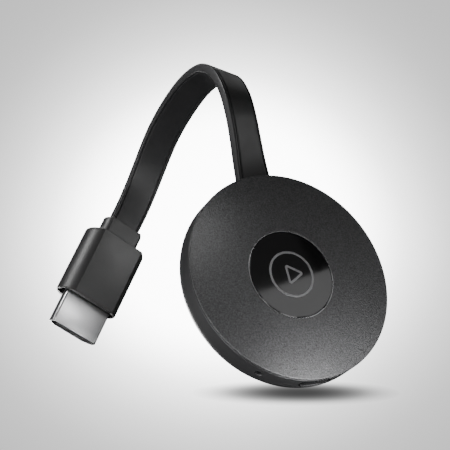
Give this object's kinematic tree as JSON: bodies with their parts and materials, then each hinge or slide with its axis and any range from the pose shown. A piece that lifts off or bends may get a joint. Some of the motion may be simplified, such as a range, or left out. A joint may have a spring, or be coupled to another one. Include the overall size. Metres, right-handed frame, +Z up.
{
  "type": "streaming media player",
  "caption": "Round streaming media dongle on a short flat cable that ends in a video plug, with a power socket, light and reset button in its rim.",
  "frame": {"origin": "centre of the bottom of the casing's box, on the surface that its rim stands on; the cable and plug are left out of that box", "axes": "+X across the disc, +Z up, -Y the way the front face looks; the disc leans back 30 degrees"},
  "size_m": [0.0624, 0.0856, 0.0751],
  "materials": {
    "front_cover": "fine grain, charcoal",
    "rear_cover": "satin charcoal",
    "badge": "polished black",
    "cable": "smooth soft black",
    "plug_body": "satin black",
    "plug_shell": "bright nickel",
    "contacts": "gold plated",
    "board": "circuit board green",
    "chips": "matt black",
    "shield": "tinned",
    "heat_spreader": "plain",
    "thermal_pad": "matt grey",
    "adhesive": "matt white",
    "light_pipe": "clear moulded plastic"
  },
  "bodies": {
    "casing": {"rear_cover": "rear_cover", "front_cover": "front_cover", "badge_inlay": "badge", "badge_adhesive": "adhesive", "main_board": "board", "system_chip": "chips", "memory_chip": "chips", "flash_chip": "chips", "radio_module": "chips", "radio_shield": "shield", "power_inductor": "chips", "crystal": "shield", "thermal_pad": "thermal_pad", "heat_spreader": "heat_spreader", "power_socket_shell": "shield", "power_socket_tongue": "chips", "status_led": "adhesive", "light_pipe": "light_pipe", "switch_body": "chips", "board_screw_1": "shield", "board_screw_2": "shield", "board_screw_3": "shield", "antenna_left": "contacts", "antenna_right": "contacts", "cable_clamp": "plug_body", "cable_tail": "cable", "cable_header": "plug_body", "flat_cable_casing_leg": "cable"},
    "reset_button": {"reset_button": "rear_cover"},
    "switch_plunger": {"switch_plunger": "chips"},
    "plug_end": {"flat_cable_plug_leg": "cable", "plug_collar": "plug_body", "plug_overmold": "plug_body", "plug_shell": "plug_shell", "plug_insert": "plug_body", "plug_contacts_upper": "contacts", "plug_contacts_lower": "contacts"}
  },
  "joints": [
    {"name": "reset_press", "type": "slide", "parent": "casing", "child": "reset_button", "axis": [-0.6157, 0.394, 0.6824], "range_m": [0, 0.0005], "stiffness_N_per_m": 800},
    {"name": "plunger_slide", "type": "slide", "parent": "casing", "child": "switch_plunger", "axis": [-0.6157, 0.394, 0.6824], "range_m": [0, 0.0005]},
    {"name": "cable_flex", "type": "hinge", "parent": "casing", "child": "plug_end", "pos_m": [-0.0006, 0.0334, 0.0728], "axis": [0.9476, -0.01, -0.3192], "range_deg": [0, 30], "stiffness_Nm_per_rad": 0.15}
  ],
  "couplings": [
    {"joint": "plunger_slide", "follows": "reset_press", "ratio": 1}
  ]
}
